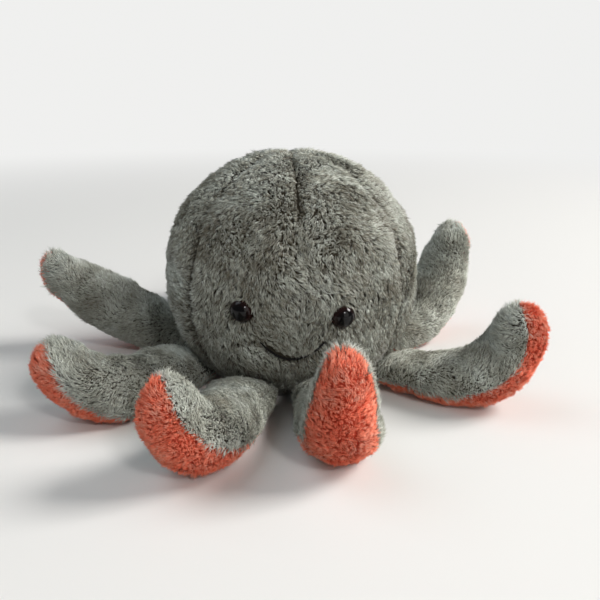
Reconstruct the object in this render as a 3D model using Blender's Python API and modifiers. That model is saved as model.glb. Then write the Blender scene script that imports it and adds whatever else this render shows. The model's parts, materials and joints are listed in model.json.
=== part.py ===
# Plush octopus: a round sewn head on eight stuffed tentacles.
# Metres, +Z up. The face looks along -Y. The origin is the centre of the base that it sits on.
# Azimuths are measured from the front (-Y), positive towards -X.

import bmesh
import bpy
from math import acos, atan2, cos, hypot, pi, radians, sin, sqrt
from mathutils import Vector

MM = 0.001

# Fabric and fits
CLOTH = 1.2 * MM              # pile fabric with its backing
SEAM_GAP = 0.9 * MM           # between two panels, along their seam
FILLING_CLEARANCE = 1.2 * MM  # between filling and fabric
TOUCH_GAP = 0.3 * MM          # between solids that touch
WELD = 0.001 * MM             # merges the points of a panel's pointed end

# Head
HEAD_RADIUS = 64 * MM
HEAD_CENTRE_HEIGHT = 57 * MM  # the widest level above the table
HEAD_UPPER = 60.5 * MM        # from the widest level to the crown
BASE_CUT = 4 * MM             # how much of the ball its flat base cuts off
HEAD_LOWER = HEAD_CENTRE_HEIGHT + BASE_CUT
CHEEK_POWER = 2.5             # 2 is an ellipse, more is fuller cheeks
BASE_SEAM_HEIGHT = 5 * MM
SEAM_DIP = 1.3 * MM           # how far the fabric is drawn in along a seam
SEAM_DIP_POWER = 4            # more makes the valley narrower
CROWN_DIP = 2.2 * MM          # more where the seams meet on top
CROWN_DIP_POWER = 4
PUCKER_POWER = 60
FACE_TURN = radians(-1)       # the face is sewn on slightly turned
HEAD_TURN = radians(-4.5)     # where the front seam runs
PANEL_NAMES = ("front_left", "left", "rear_left", "rear_right", "right", "front_right")
FRONT_PANEL_ANGLE = radians(52.5)  # how much of the round each of the two front panels takes
PANEL_ACROSS = 5
PANEL_ALONG = 12
CROWN_ROW_SHARE = 0.07        # how far from the crown a panel's first full row lies
BASE_ROWS = 3
BASE_AROUND = 30
HEAD_FILLING_AROUND = 30
HEAD_FILLING_ALONG = 14
FILLING_CROWN_POWER = 8       # the filling stays lower round the gathered crown

# Eyes
EYE_DIAMETER = 11.5 * MM
EYE_HEIGHT = 5.4 * MM
EYE_SHANK = 4.5 * MM
EYE_SHANK_LENGTH = 9 * MM
EYE_LEVELS = {"left": 53.5 * MM, "right": 50.5 * MM}
EYE_SPREAD = 22.7 * MM        # from the middle of the face to each eye
SHANK_CLEARANCE = 0.3 * MM
WASHER_DIAMETER = 13 * MM
WASHER_THICKNESS = 1.6 * MM
CUT_OVERRUN = 3 * MM
EYE_AROUND = 20
DOME_ROWS = 6

# Mouth
MOUTH_HALF_WIDTH = 14.5 * MM
MOUTH_LEVEL = 30 * MM         # the middle of the smile
MOUTH_RISE = 8.8 * MM         # its corners above its middle
MOUTH_THREAD = 1.3 * MM
MOUTH_POINTS = 15

# Tentacles
LIMB_LENGTH = 110 * MM        # from the sewn root to the tip
LIMB_WIDTH = 30 * MM
LIMB_HEIGHT = 26 * MM
ROOT_WIDTH = 24 * MM
ROOT_EDGE = 4.4 * MM          # height of the sewn root edge
ROOT_HEIGHT = 8 * MM          # the root's middle above the table
ROOT_GAP = 0.12 * MM          # what is left between root and head at the highest lift
LIFT_LIMIT = radians(20)      # how far a tentacle lifts before it meets the cheek
TIP_LENGTH = 12 * MM          # the rounded end
BELLY_CUT = 0.5 * MM          # how far the belly is pressed flat on the table
BELLY_FROM_SHARE = 0.2        # the stretch whose belly may touch the table
BELLY_TO_SHARE = 0.9
SETTLED_SHARE = 0.3           # the root end bends down to the table within this stretch
LIMB_STEPS = 60
SETTLE_ROUNDS = 4             # each lets the belly sink closer to its place
LIMB_ALONG = 12
TOP_ACROSS = 10
UNDER_ACROSS = 5
TIP_ROWS_POWER = 1.5          # rows lie closer together towards the tip
LIMB_FILLING_AROUND = 12
LIMB_FILLING_ALONG = 12
FILLING_FROM_SHARE = 0.075
WIDTH_SWELL_SHARES = ((0.0, 0.0), (0.2, 0.65), (0.5, 1.0), (1.0, 1.0))
WIDTH_TAPER_SHARES = ((0.0, 1.0), (0.5, 1.0), (0.7, 0.9), (1.0, 0.4))
HEIGHT_SHARES = ((0.0, 0.0), (0.14, 0.45), (0.3, 0.7), (0.65, 1.0), (1.0, 0.72))
SEAM_SHARES = ((0.0, 0.67), (0.5, 0.66), (0.8, 0.6), (1.0, 0.5))  # of half a turn, from the top

# Each tentacle: the azimuth of its root, how much of its length is left where the filling bunches
# it, and its pitch, sway and roll in degrees at shares of its length
LIMBS = {
    "front": {
        "azimuth": -17,
        "length_share": 0.88,
        "pitch": ((0.0, 6), (0.35, 2), (0.6, 34), (0.82, 88), (1.0, 108)),
        "sway": ((0.0, 3), (0.4, 13), (1.0, 11)),
        "roll": ((0.0, 0), (0.5, 14), (1.0, 3)),
    },
    "front_left": {
        "azimuth": 22,
        "length_share": 0.91,
        "pitch": ((0.0, 1), (0.3, 1), (0.5, 6), (0.68, 30), (0.86, 68), (1.0, 88)),
        "sway": ((0.0, -2), (0.4, -9), (0.7, 10), (1.0, 42)),
        "roll": ((0.0, 0), (0.4, -6), (0.7, -16), (1.0, -6)),
    },
    "left": {
        "azimuth": 68,
        "length_share": 0.88,
        "pitch": ((0.0, 3), (0.4, 0), (0.65, 20), (0.85, 46), (1.0, 62)),
        "sway": ((0.0, -10), (0.3, -32), (0.55, -24), (0.75, 8), (1.0, 34)),
        "roll": ((0.0, 0), (0.4, 16), (0.6, 10), (0.8, -14), (1.0, -38)),
    },
    "rear_left": {
        "azimuth": 113,
        "length_share": 1.03,
        "pitch": ((0.0, 10), (0.2, 24), (0.6, 31), (0.85, 40), (1.0, 70)),
        "sway": ((0.0, -8), (0.5, -24), (1.0, -30)),
        "roll": ((0.0, 0), (0.3, 24), (0.6, 42), (0.85, 40), (1.0, 24)),
    },
    "rear": {
        "azimuth": 160,
        "length_share": 0.94,
        "pitch": ((0.0, 6), (0.3, 10), (0.6, 44), (1.0, 78)),
        "sway": ((0.0, 0), (1.0, -10)),
        "roll": ((0.0, 0), (1.0, 0)),
    },
    "rear_right": {
        "azimuth": -156,
        "length_share": 0.94,
        "pitch": ((0.0, 6), (0.3, 8), (0.6, 36), (1.0, 72)),
        "sway": ((0.0, 0), (1.0, 14)),
        "roll": ((0.0, 0), (1.0, 0)),
    },
    "right": {
        "azimuth": -111,
        "length_share": 0.93,
        "pitch": ((0.0, 6), (0.25, 13), (0.5, 46), (0.75, 68), (1.0, 74)),
        "sway": ((0.0, -6), (0.35, -18), (0.7, -16), (1.0, -12)),
        "roll": ((0.0, 0), (0.4, -8), (0.7, -26), (1.0, -34)),
    },
    "front_right": {
        "azimuth": -64,
        "length_share": 0.9,
        "pitch": ((0.0, 6), (0.3, 2), (0.55, 24), (0.8, 66), (1.0, 102)),
        "sway": ((0.0, 0), (0.4, 6), (0.7, -14), (1.0, -34)),
        "roll": ((0.0, 0), (0.25, 12), (0.6, 8), (1.0, 8)),
    },
}

# Colour, roughness and metallic value of each finish
FINISHES = {
    "grey_plush": ((0.155, 0.16, 0.125), 0.95, 0.0),
    "coral_plush": ((0.75, 0.12, 0.075), 0.95, 0.0),
    "polyester_filling": ((0.85, 0.85, 0.83), 0.9, 0.0),
    "eye_gloss": ((0.012, 0.008, 0.008), 0.08, 0.0),
    "washer_plastic": ((0.8, 0.8, 0.78), 0.5, 0.0),
    "mouth_thread": ((0.015, 0.013, 0.013), 0.6, 0.0),
}

OTHER_PANEL_ANGLE = (2 * pi - 2 * FRONT_PANEL_ANGLE) / (len(PANEL_NAMES) - 2)
PANEL_ANGLES = [
    FRONT_PANEL_ANGLE if name.startswith("front") else OTHER_PANEL_ANGLE for name in PANEL_NAMES
]
PANEL_STARTS = [HEAD_TURN + sum(PANEL_ANGLES[:i]) for i in range(len(PANEL_ANGLES))]
FILLING_INSET = CLOTH + FILLING_CLEARANCE
POLE_SHARE = 0.001            # of a unit ball's radius, to tell its poles from its rings
SEARCH_STEPS = 40
SMALL_TURN = radians(1)


def smooth_value(knots, share):
    """Reads a smooth curve through (share, value) knots."""
    for i in range(len(knots) - 1):
        if share <= knots[i + 1][0]:
            break
    (s0, v0), (s1, v1) = knots[i], knots[i + 1]
    before = knots[i - 1] if i > 0 else knots[i]
    after = knots[i + 2] if i + 2 < len(knots) else knots[i + 1]
    run = s1 - s0
    slope0 = (v1 - before[1]) / (s1 - before[0]) * run
    slope1 = (after[1] - v0) / (after[0] - s0) * run
    t = (share - s0) / run
    return (
        (2 * t**3 - 3 * t**2 + 1) * v0
        + (t**3 - 2 * t**2 + t) * slope0
        + (3 * t**2 - 2 * t**3) * v1
        + (t**3 - t**2) * slope1
    )


def outward(azimuth):
    return Vector((-sin(azimuth), -cos(azimuth), 0))


def sideways(azimuth):
    return Vector((-cos(azimuth), sin(azimuth), 0))


def make_material(name):
    colour, roughness, metallic = FINISHES[name]
    material = bpy.data.materials.new(name)
    material.use_nodes = True
    shader = material.node_tree.nodes["Principled BSDF"]
    shader.inputs["Base Color"].default_value = (*colour, 1)
    shader.inputs["Roughness"].default_value = roughness
    shader.inputs["Metallic"].default_value = metallic
    return material


def add_object(name, mesh, finish, collection):
    part = bpy.data.objects.new(name, mesh)
    collection.objects.link(part)
    if finish:
        mesh.materials.append(materials[finish])
    return part


def mesh_from(bm, name, origin):
    """Writes the bmesh with its points measured from the object's own origin."""
    bmesh.ops.translate(bm, verts=bm.verts, vec=-origin)
    bmesh.ops.recalc_face_normals(bm, faces=bm.faces)
    mesh = bpy.data.meshes.new(name)
    bm.to_mesh(mesh)
    bm.free()
    mesh.shade_smooth()
    return mesh


def panel(name, point, across, along, finish, inward, origin=Vector()):
    """A sewn panel: a grid laid on a form by point(u, v), with the cloth's thickness inwards.

    One end may close to a point."""
    bm = bmesh.new()
    bmesh.ops.create_grid(bm, x_segments=across, y_segments=along, size=0.5)
    for vert in bm.verts:
        vert.co = point(vert.co.x + 0.5, vert.co.y + 0.5)
    bmesh.ops.remove_doubles(bm, verts=bm.verts, dist=WELD)
    mesh = mesh_from(bm, name, origin)
    middle = mesh.polygons[len(mesh.polygons) // 2]
    if middle.normal.dot(inward(middle.center + origin)) > 0:
        mesh.flip_normals()
    part = add_object(name, mesh, finish, parts)
    part.location = origin
    solidify = part.modifiers.new("cloth", "SOLIDIFY")
    solidify.thickness = CLOTH
    solidify.offset = -1
    return part


def turned(name, profile, steps, finish, collection):
    """A solid turned about its own Z axis from a profile that runs down its outer side."""
    bm = bmesh.new()
    verts = [bm.verts.new((x, 0, z)) for x, z in profile]
    for a, b in zip(verts, verts[1:]):
        bm.edges.new((a, b))
    mesh = bpy.data.meshes.new(name)
    bm.to_mesh(mesh)
    bm.free()
    part = add_object(name, mesh, finish, collection)
    screw = part.modifiers.new("turned", "SCREW")
    screw.steps = steps
    screw.render_steps = steps
    screw.use_merge_vertices = True
    screw.merge_threshold = WELD
    return part


def cut(part, cutter):
    boolean = part.modifiers.new(cutter.name, "BOOLEAN")
    boolean.object = cutter
    boolean.operation = "DIFFERENCE"


# The head's form

def head_profile(turn, inset=0.0):
    """Radius and height of the head's outline at an angle from the crown, moved in by inset."""
    level = cos(turn)
    if level >= 0:
        radius = (HEAD_RADIUS - inset) * sin(turn)
        height = (HEAD_UPPER - inset) * level
    else:
        power = 2 / CHEEK_POWER
        radius = (HEAD_RADIUS - inset) * sin(turn) ** power
        height = -(HEAD_LOWER - inset) * (-level) ** power
    return radius, HEAD_CENTRE_HEIGHT + height


def turn_at_height(height):
    """The angle from the crown at which the lower half of the head reaches a height."""
    return pi - acos(((HEAD_CENTRE_HEIGHT - height) / HEAD_LOWER) ** (CHEEK_POWER / 2))


def head_radius_at(height):
    """The lower half's radius at a height."""
    drop = (HEAD_CENTRE_HEIGHT - height) / HEAD_LOWER
    return HEAD_RADIUS * (1 - drop**CHEEK_POWER) ** (1 / CHEEK_POWER)


def closeness_to_seam(azimuth):
    """0 in the middle of a head panel, 1 on the seams at its sides."""
    turned_by = (azimuth - HEAD_TURN) % (2 * pi)
    for start, angle in zip(PANEL_STARTS, PANEL_ANGLES):
        across_share = (turned_by + HEAD_TURN - start) / angle
        if across_share <= 1:
            break
    return abs(across_share - 0.5) * 2


def head_point(azimuth, turn, inset=0.0):
    """A point of the head's form, with the valleys along its six seams."""
    radius, height = head_profile(turn, inset)
    crown = max(0.0, cos(turn))
    base = max(0.0, -cos(turn))
    deepest = SEAM_DIP * (1 - base) + CROWN_DIP * crown**CROWN_DIP_POWER
    dip = deepest * closeness_to_seam(azimuth) ** SEAM_DIP_POWER
    flat = Vector((radius, height - HEAD_CENTRE_HEIGHT))
    drawn = flat * (1 - dip / flat.length)
    pucker = CROWN_DIP * crown**PUCKER_POWER
    return outward(azimuth) * drawn.x + Vector((0, 0, HEAD_CENTRE_HEIGHT + drawn.y - pucker))


def build_head_panel(place, first, angle):
    """One of the head's gores, from the crown to the base seam; first is its first seam's azimuth
    and angle is how much of the round it takes."""
    end = turn_at_height(BASE_SEAM_HEIGHT)

    def on_panel(u, v):
        row = (1 - v) * PANEL_ALONG
        if row == 0:
            middle = first + angle / 2
            point_radius = SEAM_GAP / 2 / sin(angle / 2)
            return head_point(middle, point_radius / HEAD_RADIUS)
        full_rows = (row - 1) / (PANEL_ALONG - 1)
        turn = end * (CROWN_ROW_SHARE + full_rows * (1 - CROWN_ROW_SHARE))
        margin = SEAM_GAP / 2 / head_profile(turn)[0]
        return head_point(first + margin + u * (angle - 2 * margin), turn)

    def inward(point):
        return Vector((0, 0, HEAD_CENTRE_HEIGHT)) - point

    return panel(f"head_panel_{place}", on_panel, PANEL_ACROSS, PANEL_ALONG, "grey_plush", inward)


def build_base():
    """The round base panel, flat where the toy sits and turned up to the base seam."""
    flat_radius = head_radius_at(0.0)
    outer = []
    for i in range(BASE_ROWS):
        height = (BASE_SEAM_HEIGHT - SEAM_GAP) * (1 - i / BASE_ROWS)
        outer.append((head_radius_at(height), height))
    outer.append((flat_radius, 0.0))
    inner = [(0.0, CLOTH), (flat_radius - CLOTH / 2, CLOTH)]
    for radius, height in reversed(outer[1:BASE_ROWS]):
        inner.append((radius - CLOTH, height + CLOTH))
    turned("head_base", [*inner, *outer, (0.0, 0.0)], BASE_AROUND, "grey_plush", parts)


def build_head_filling():
    bm = bmesh.new()
    bmesh.ops.create_uvsphere(
        bm, u_segments=HEAD_FILLING_AROUND, v_segments=HEAD_FILLING_ALONG, radius=1
    )
    for vert in bm.verts:
        turn = acos(max(-1.0, min(1.0, vert.co.z)))
        azimuth = HEAD_TURN + atan2(-vert.co.x, -vert.co.y)
        if vert.co.xy.length < POLE_SHARE:
            vert.co = Vector((0, 0, head_profile(turn, FILLING_INSET)[1]))
        else:
            vert.co = head_point(azimuth, turn, FILLING_INSET)
        vert.co.z -= 2 * CROWN_DIP * max(0.0, cos(turn)) ** FILLING_CROWN_POWER
        vert.co.z = max(vert.co.z, FILLING_INSET)
    mesh = mesh_from(bm, "head_filling", Vector())
    return add_object("head_filling", mesh, "polyester_filling", parts)


# Eyes and mouth

def face_point(offset, height):
    """The point of the face at a sideways offset and a height, and the direction out of it."""
    low, high = SMALL_TURN, pi - SMALL_TURN
    for _ in range(SEARCH_STEPS):
        turn = (low + high) / 2
        radius = head_profile(turn)[0]
        forward = sqrt(max(radius**2 - offset**2, offset**2))
        azimuth = FACE_TURN - atan2(offset, forward)
        if head_point(azimuth, turn).z > height:
            low = turn
        else:
            high = turn
    down = head_point(azimuth, turn + SMALL_TURN) - head_point(azimuth, turn - SMALL_TURN)
    across = head_point(azimuth + SMALL_TURN, turn) - head_point(azimuth - SMALL_TURN, turn)
    return head_point(azimuth, turn), across.cross(down).normalized()


def sag(radius):
    """How far the head's surface falls away at the edge of something round that lies on it."""
    return HEAD_RADIUS - sqrt(HEAD_RADIUS**2 - radius**2)


def facet_sag():
    """How far a front panel's flat faces lie inside the head's true round."""
    return HEAD_RADIUS * (1 - cos(FRONT_PANEL_ANGLE / 2 / PANEL_ACROSS))


def stand_on(part, place, direction):
    """Moves a turned part so that its Z axis points along direction."""
    part.rotation_mode = "QUATERNION"
    part.rotation_quaternion = direction.to_track_quat("Z", "Y")
    part.location = place


def build_eye(side, sign, filling):
    """A domed eye on its shank, the washer that locks it behind the cloth, and their room."""
    seat, normal = face_point(sign * EYE_SPREAD, EYE_LEVELS[side])
    radius = EYE_DIAMETER / 2
    shank = EYE_SHANK / 2
    rim = WASHER_DIAMETER / 2
    hole = shank + SHANK_CLEARANCE
    eye_seat = seat + normal * (TOUCH_GAP + sag(radius))

    dome_turns = [pi / 2 * i / DOME_ROWS for i in range(DOME_ROWS + 1)]
    dome = [(radius * sin(turn), EYE_HEIGHT * cos(turn)) for turn in dome_turns]
    profile = [*dome, (shank, 0.0), (shank, -EYE_SHANK_LENGTH), (0.0, -EYE_SHANK_LENGTH)]
    eye = turned(f"eye_{side}", profile, EYE_AROUND, "eye_gloss", parts)
    stand_on(eye, eye_seat, normal)

    top = -CLOTH - 3 * TOUCH_GAP - sag(rim) - facet_sag() - sag(radius)
    end = top - WASHER_THICKNESS
    ring = [(hole, top), (rim, top), (rim, end), (hole, end), (hole, top)]
    washer = turned(f"eye_washer_{side}", ring, EYE_AROUND, "washer_plastic", parts)
    stand_on(washer, eye_seat, normal)

    above = CUT_OVERRUN
    below = -CLOTH - CUT_OVERRUN
    hole_profile = [(0.0, above), (hole, above), (hole, below), (0.0, below)]
    hole_cutter = turned(f"eye_hole_{side}", hole_profile, EYE_AROUND, None, cutters)
    stand_on(hole_cutter, seat, normal)
    cut(panels[f"front_{side}"], hole_cutter)

    wide = rim + TOUCH_GAP
    step = end - TOUCH_GAP
    deep = -EYE_SHANK_LENGTH - TOUCH_GAP
    pocket = [(0.0, above), (wide, above), (wide, step), (hole, step), (hole, deep), (0.0, deep)]
    pocket_cutter = turned(f"eye_pocket_{side}", pocket, EYE_AROUND, None, cutters)
    stand_on(pocket_cutter, eye_seat, normal)
    cut(filling, pocket_cutter)


def build_mouth():
    """The stitched smile, a thread that lies on the two front panels."""
    curve = bpy.data.curves.new("mouth", "CURVE")
    curve.dimensions = "3D"
    curve.bevel_depth = MOUTH_THREAD / 2
    curve.bevel_resolution = 1
    curve.use_fill_caps = True
    curve.materials.append(materials["mouth_thread"])
    spline = curve.splines.new("POLY")
    spline.points.add(MOUTH_POINTS - 1)
    for i, point in enumerate(spline.points):
        share = 2 * i / (MOUTH_POINTS - 1) - 1
        seat, normal = face_point(share * MOUTH_HALF_WIDTH, MOUTH_LEVEL + MOUTH_RISE * share**2)
        point.co = (*(seat + normal * (TOUCH_GAP + MOUTH_THREAD / 2)), 1)
    mouth = bpy.data.objects.new("mouth", curve)
    parts.objects.link(mouth)


# Tentacles

def root_place(azimuth):
    """The middle of a root's sewn edge: as close to the head as the edge can be and still lift."""
    above = head_point(azimuth, turn_at_height(ROOT_HEIGHT + ROOT_EDGE / 2))
    below = head_point(azimuth, turn_at_height(ROOT_HEIGHT - ROOT_EDGE / 2))
    lean = atan2(above.xy.length - below.xy.length, above.z - below.z)
    reach = (ROOT_EDGE / 2 * sin(lean + LIFT_LIMIT) + ROOT_GAP) / cos(lean)
    on_head = (above.xy.length + below.xy.length) / 2
    return outward(azimuth) * (on_head + reach) + Vector((0, 0, ROOT_HEIGHT))


def half_sizes(share, inset):
    """Half the width and half the height of a tentacle at a share of its length."""
    swell = smooth_value(WIDTH_SWELL_SHARES, share)
    taper = smooth_value(WIDTH_TAPER_SHARES, share)
    width = (ROOT_WIDTH + (LIMB_WIDTH - ROOT_WIDTH) * swell) * taper
    height = ROOT_EDGE + (LIMB_HEIGHT - ROOT_EDGE) * smooth_value(HEIGHT_SHARES, share)
    cap_start = 1 - TIP_LENGTH / LIMB_LENGTH
    cap = 1.0
    if share > cap_start:
        cap = sqrt(max(0.0, 1 - ((share - cap_start) / (1 - cap_start)) ** 2))
    return max(width / 2 * cap - inset, 0.0), max(height / 2 * cap - inset, 0.0)


class Limb:
    """One tentacle's form: a line that bends, with oval sections square to it."""

    def __init__(self, settings):
        self.azimuth = radians(settings["azimuth"])
        self.root = root_place(self.azimuth)
        self.line = []
        place = self.root.copy()
        stride = LIMB_LENGTH * settings["length_share"] / LIMB_STEPS
        for i in range(LIMB_STEPS + 1):
            pitch, sway, roll = (
                radians(smooth_value(settings[bend], i / LIMB_STEPS)) for bend in ("pitch", "sway", "roll")
            )
            side = sideways(self.azimuth + sway)
            along = outward(self.azimuth + sway) * cos(pitch) + Vector((0, 0, sin(pitch)))
            up = side.cross(along)
            if i > 0:
                place = place + along * stride
            rolled_side = side * cos(roll) + up * sin(roll)
            rolled_up = up * cos(roll) - side * sin(roll)
            self.line.append((place, rolled_side, rolled_up))
        self.settle()

    def settle(self):
        """Lowers or raises the limb beyond its root until its belly is pressed on the table."""
        first = round(BELLY_FROM_SHARE * LIMB_STEPS)
        last = round(BELLY_TO_SHARE * LIMB_STEPS)
        turns = [2 * pi * j / LIMB_FILLING_AROUND for j in range(LIMB_FILLING_AROUND)]
        for _ in range(SETTLE_ROUNDS):
            shares = [i / LIMB_STEPS for i in range(first, last + 1)]
            lowest = min(self.point(share, turn, 0.0).z for share in shares for turn in turns)
            for i, (place, side, up) in enumerate(self.line):
                t = min(1.0, i / LIMB_STEPS / SETTLED_SHARE)
                drop = (lowest + BELLY_CUT) * t * t * (3 - 2 * t)
                self.line[i] = (place - Vector((0, 0, drop)), side, up)

    def frame(self, share):
        """The line's place, and its sideways and upward directions, at a share of the length."""
        at = min(max(share, 0.0), 1.0) * LIMB_STEPS
        i = min(int(at), LIMB_STEPS - 1)
        return [a.lerp(b, at - i) for a, b in zip(self.line[i], self.line[i + 1])]

    def point(self, share, turn, inset):
        """A point of the form; turn is the angle round the section, from its top."""
        place, side, up = self.frame(share)
        half_width, half_height = half_sizes(share, inset)
        return place + side * (half_width * sin(turn)) + up * (half_height * cos(turn))

    def pressed(self, share, turn, inset=0.0):
        """The same point, with the belly flat where it rests on the table."""
        found = self.point(share, turn, inset)
        found.z = max(found.z, inset)
        return found


def build_limb_panel(name, limb, across, finish, edges, tip_side):
    """A tentacle's panel. edges(seam) gives the turns of its two seams, and how a seam gap moves
    each; tip_side is 1 above the tip's seam and -1 below it."""

    def on_panel(u, v):
        share = 1 - (1 - v) ** TIP_ROWS_POWER
        if v == 1:
            place, _, up = limb.frame(share)
            return place + up * (SEAM_GAP / 2 * tip_side)
        seam = smooth_value(SEAM_SHARES, share) * pi
        half_width, half_height = half_sizes(share, 0.0)
        margin = SEAM_GAP / 2 / hypot(half_width * cos(seam), half_height * sin(seam))
        first, last = edges(seam)
        return limb.pressed(share, first + margin + u * (last - first - 2 * margin))

    def inward(point):
        nearest = min((line[0] for line in limb.line), key=lambda place: (place - point).length)
        return nearest - point

    panel(name, on_panel, across, LIMB_ALONG, finish, inward, limb.root)


def build_limb_filling(name, limb):
    end_share = 1 - FILLING_INSET / LIMB_LENGTH
    bm = bmesh.new()
    bmesh.ops.create_uvsphere(
        bm, u_segments=LIMB_FILLING_AROUND, v_segments=LIMB_FILLING_ALONG, radius=1
    )
    for vert in bm.verts:
        along = (1 - vert.co.z) / 2
        share = FILLING_FROM_SHARE + (end_share - FILLING_FROM_SHARE) * along
        if vert.co.xy.length < POLE_SHARE:
            vert.co = limb.frame(share)[0]
        else:
            vert.co = limb.pressed(share, atan2(vert.co.x, vert.co.y), FILLING_INSET)
    filling = add_object(name, mesh_from(bm, name, limb.root), "polyester_filling", parts)
    filling.location = limb.root


def build_limb(place, settings):
    limb = Limb(settings)
    name = f"tentacle_{place}"
    build_limb_panel(
        f"{name}_top", limb, TOP_ACROSS, "grey_plush", lambda seam: (-seam, seam), 1
    )
    build_limb_panel(
        f"{name}_underside", limb, UNDER_ACROSS, "coral_plush", lambda seam: (seam, 2 * pi - seam), -1
    )
    build_limb_filling(f"{name}_filling", limb)
    root = [round(value, 6) for value in limb.root]
    axis = [round(value, 6) for value in sideways(limb.azimuth)]
    print(place, "root", root, "axis", axis)


for old in list(bpy.data.objects):
    bpy.data.objects.remove(old)

parts = bpy.data.collections.new("plush_octopus")
cutters = bpy.data.collections.new("cutters")
bpy.context.scene.collection.children.link(parts)
bpy.context.scene.collection.children.link(cutters)
materials = {name: make_material(name) for name in FINISHES}

panels = {
    place: build_head_panel(place, start, angle)
    for place, start, angle in zip(PANEL_NAMES, PANEL_STARTS, PANEL_ANGLES)
}
build_base()
head_filling = build_head_filling()
build_eye("left", -1, head_filling)
build_eye("right", 1, head_filling)
build_mouth()
for limb_place, limb_settings in LIMBS.items():
    build_limb(limb_place, limb_settings)

for cutter in cutters.objects:
    cutter.hide_render = True
    cutter.display_type = "WIRE"
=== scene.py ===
# Plush octopus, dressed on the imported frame: pile fabric, stitched smile, domed eyes.
# Metres, +Z up. The face looks along -Y. Azimuths run from the front, positive towards -X.

import json
from math import cos, pi, radians, sin

import bmesh
import bpy
import numpy as np
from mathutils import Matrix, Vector
from mathutils.bvhtree import BVHTree
from mathutils.kdtree import KDTree


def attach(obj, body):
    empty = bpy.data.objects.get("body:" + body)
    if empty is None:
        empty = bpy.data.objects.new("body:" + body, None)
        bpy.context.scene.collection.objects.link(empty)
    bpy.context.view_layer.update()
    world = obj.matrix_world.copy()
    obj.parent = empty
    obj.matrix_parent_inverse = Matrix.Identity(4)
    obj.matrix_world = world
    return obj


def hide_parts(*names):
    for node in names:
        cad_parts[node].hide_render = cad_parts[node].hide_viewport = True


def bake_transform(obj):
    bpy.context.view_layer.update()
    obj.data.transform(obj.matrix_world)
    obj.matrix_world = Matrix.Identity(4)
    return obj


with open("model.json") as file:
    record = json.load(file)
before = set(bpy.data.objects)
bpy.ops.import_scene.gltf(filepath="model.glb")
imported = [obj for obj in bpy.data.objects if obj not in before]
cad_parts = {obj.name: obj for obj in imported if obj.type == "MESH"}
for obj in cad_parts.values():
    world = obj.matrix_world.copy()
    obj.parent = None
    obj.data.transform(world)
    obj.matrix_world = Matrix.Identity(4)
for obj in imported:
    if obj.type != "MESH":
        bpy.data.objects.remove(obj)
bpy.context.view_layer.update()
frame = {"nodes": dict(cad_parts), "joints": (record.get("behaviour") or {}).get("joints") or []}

mm = 0.001
squareMm = mm * mm


# Small helpers on arrays of points

def unit(vectors):
    return vectors / np.maximum(np.linalg.norm(vectors, axis=-1, keepdims=True), 1e-12)


def ease(low, high, value):
    t = np.clip((value - low) / (high - low), 0, 1)
    return t * t * (3 - 2 * t)


def bell(value, width):
    return np.exp(-((value / width) ** 2))


def smoothValue(knots, share):
    # the same curve through (share, value) knots that the solids follow
    share = np.asarray(share, float)
    at, value = (np.array(column, float) for column in zip(*knots))
    i = np.clip(np.searchsorted(at, share, side="left") - 1, 0, len(at) - 2)
    before, after = np.maximum(i - 1, 0), np.minimum(i + 2, len(at) - 1)
    run = at[i + 1] - at[i]
    slope0 = (value[i + 1] - value[before]) / (at[i + 1] - at[before]) * run
    slope1 = (value[after] - value[i]) / (at[after] - at[i]) * run
    t = (share - at[i]) / run
    return (
        (2 * t**3 - 3 * t**2 + 1) * value[i]
        + (t**3 - 2 * t**2 + t) * slope0
        + (3 * t**2 - 2 * t**3) * value[i + 1]
        + (t**3 - t**2) * slope1
    )


def waves(points, size, seed, count=14):
    # smooth noise, mostly between -1 and 1, from plane waves of about one size
    random = np.random.default_rng(seed)
    directions = unit(random.normal(size=(count, 3))) * random.uniform(0.6, 1.5, (count, 1))
    phases = random.uniform(0, 2 * pi, count)
    return np.sin(points @ directions.T * (2 * pi / size) + phases).sum(-1) * 1.25 / count**0.5


def layered(points, layers, seed=0):
    # a sum of noises, each with its strength, size and seed
    return sum(strength * waves(points, size, seed + own) for strength, size, own in layers)


def outward(azimuth):
    return np.stack([-np.sin(azimuth), -np.cos(azimuth), np.zeros_like(azimuth)], -1)


def sideways(azimuth):
    return np.stack([-np.cos(azimuth), np.sin(azimuth), np.zeros_like(azimuth)], -1)


# Shader maths

class Wire:
    # a socket that can stand in a sum
    def __init__(self, finish, socket):
        self.finish, self.socket = finish, socket

    def maths(self, operation, *values):
        return self.finish.node("ShaderNodeMath", {"operation": operation}, dict(enumerate(values)))

    def __add__(self, other):
        return self.maths("ADD", self, other)

    def __sub__(self, other):
        return self.maths("SUBTRACT", self, other)

    def __rsub__(self, other):
        return self.maths("SUBTRACT", other, self)

    def __mul__(self, other):
        return self.maths("MULTIPLY", self, other)

    __radd__, __rmul__ = __add__, __mul__

    def between(self, low, high):
        sockets = {"Value": self, "From Min": low, "From Max": high}
        return self.finish.node("ShaderNodeMapRange", {"interpolation_type": "SMOOTHSTEP"}, sockets)


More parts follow.
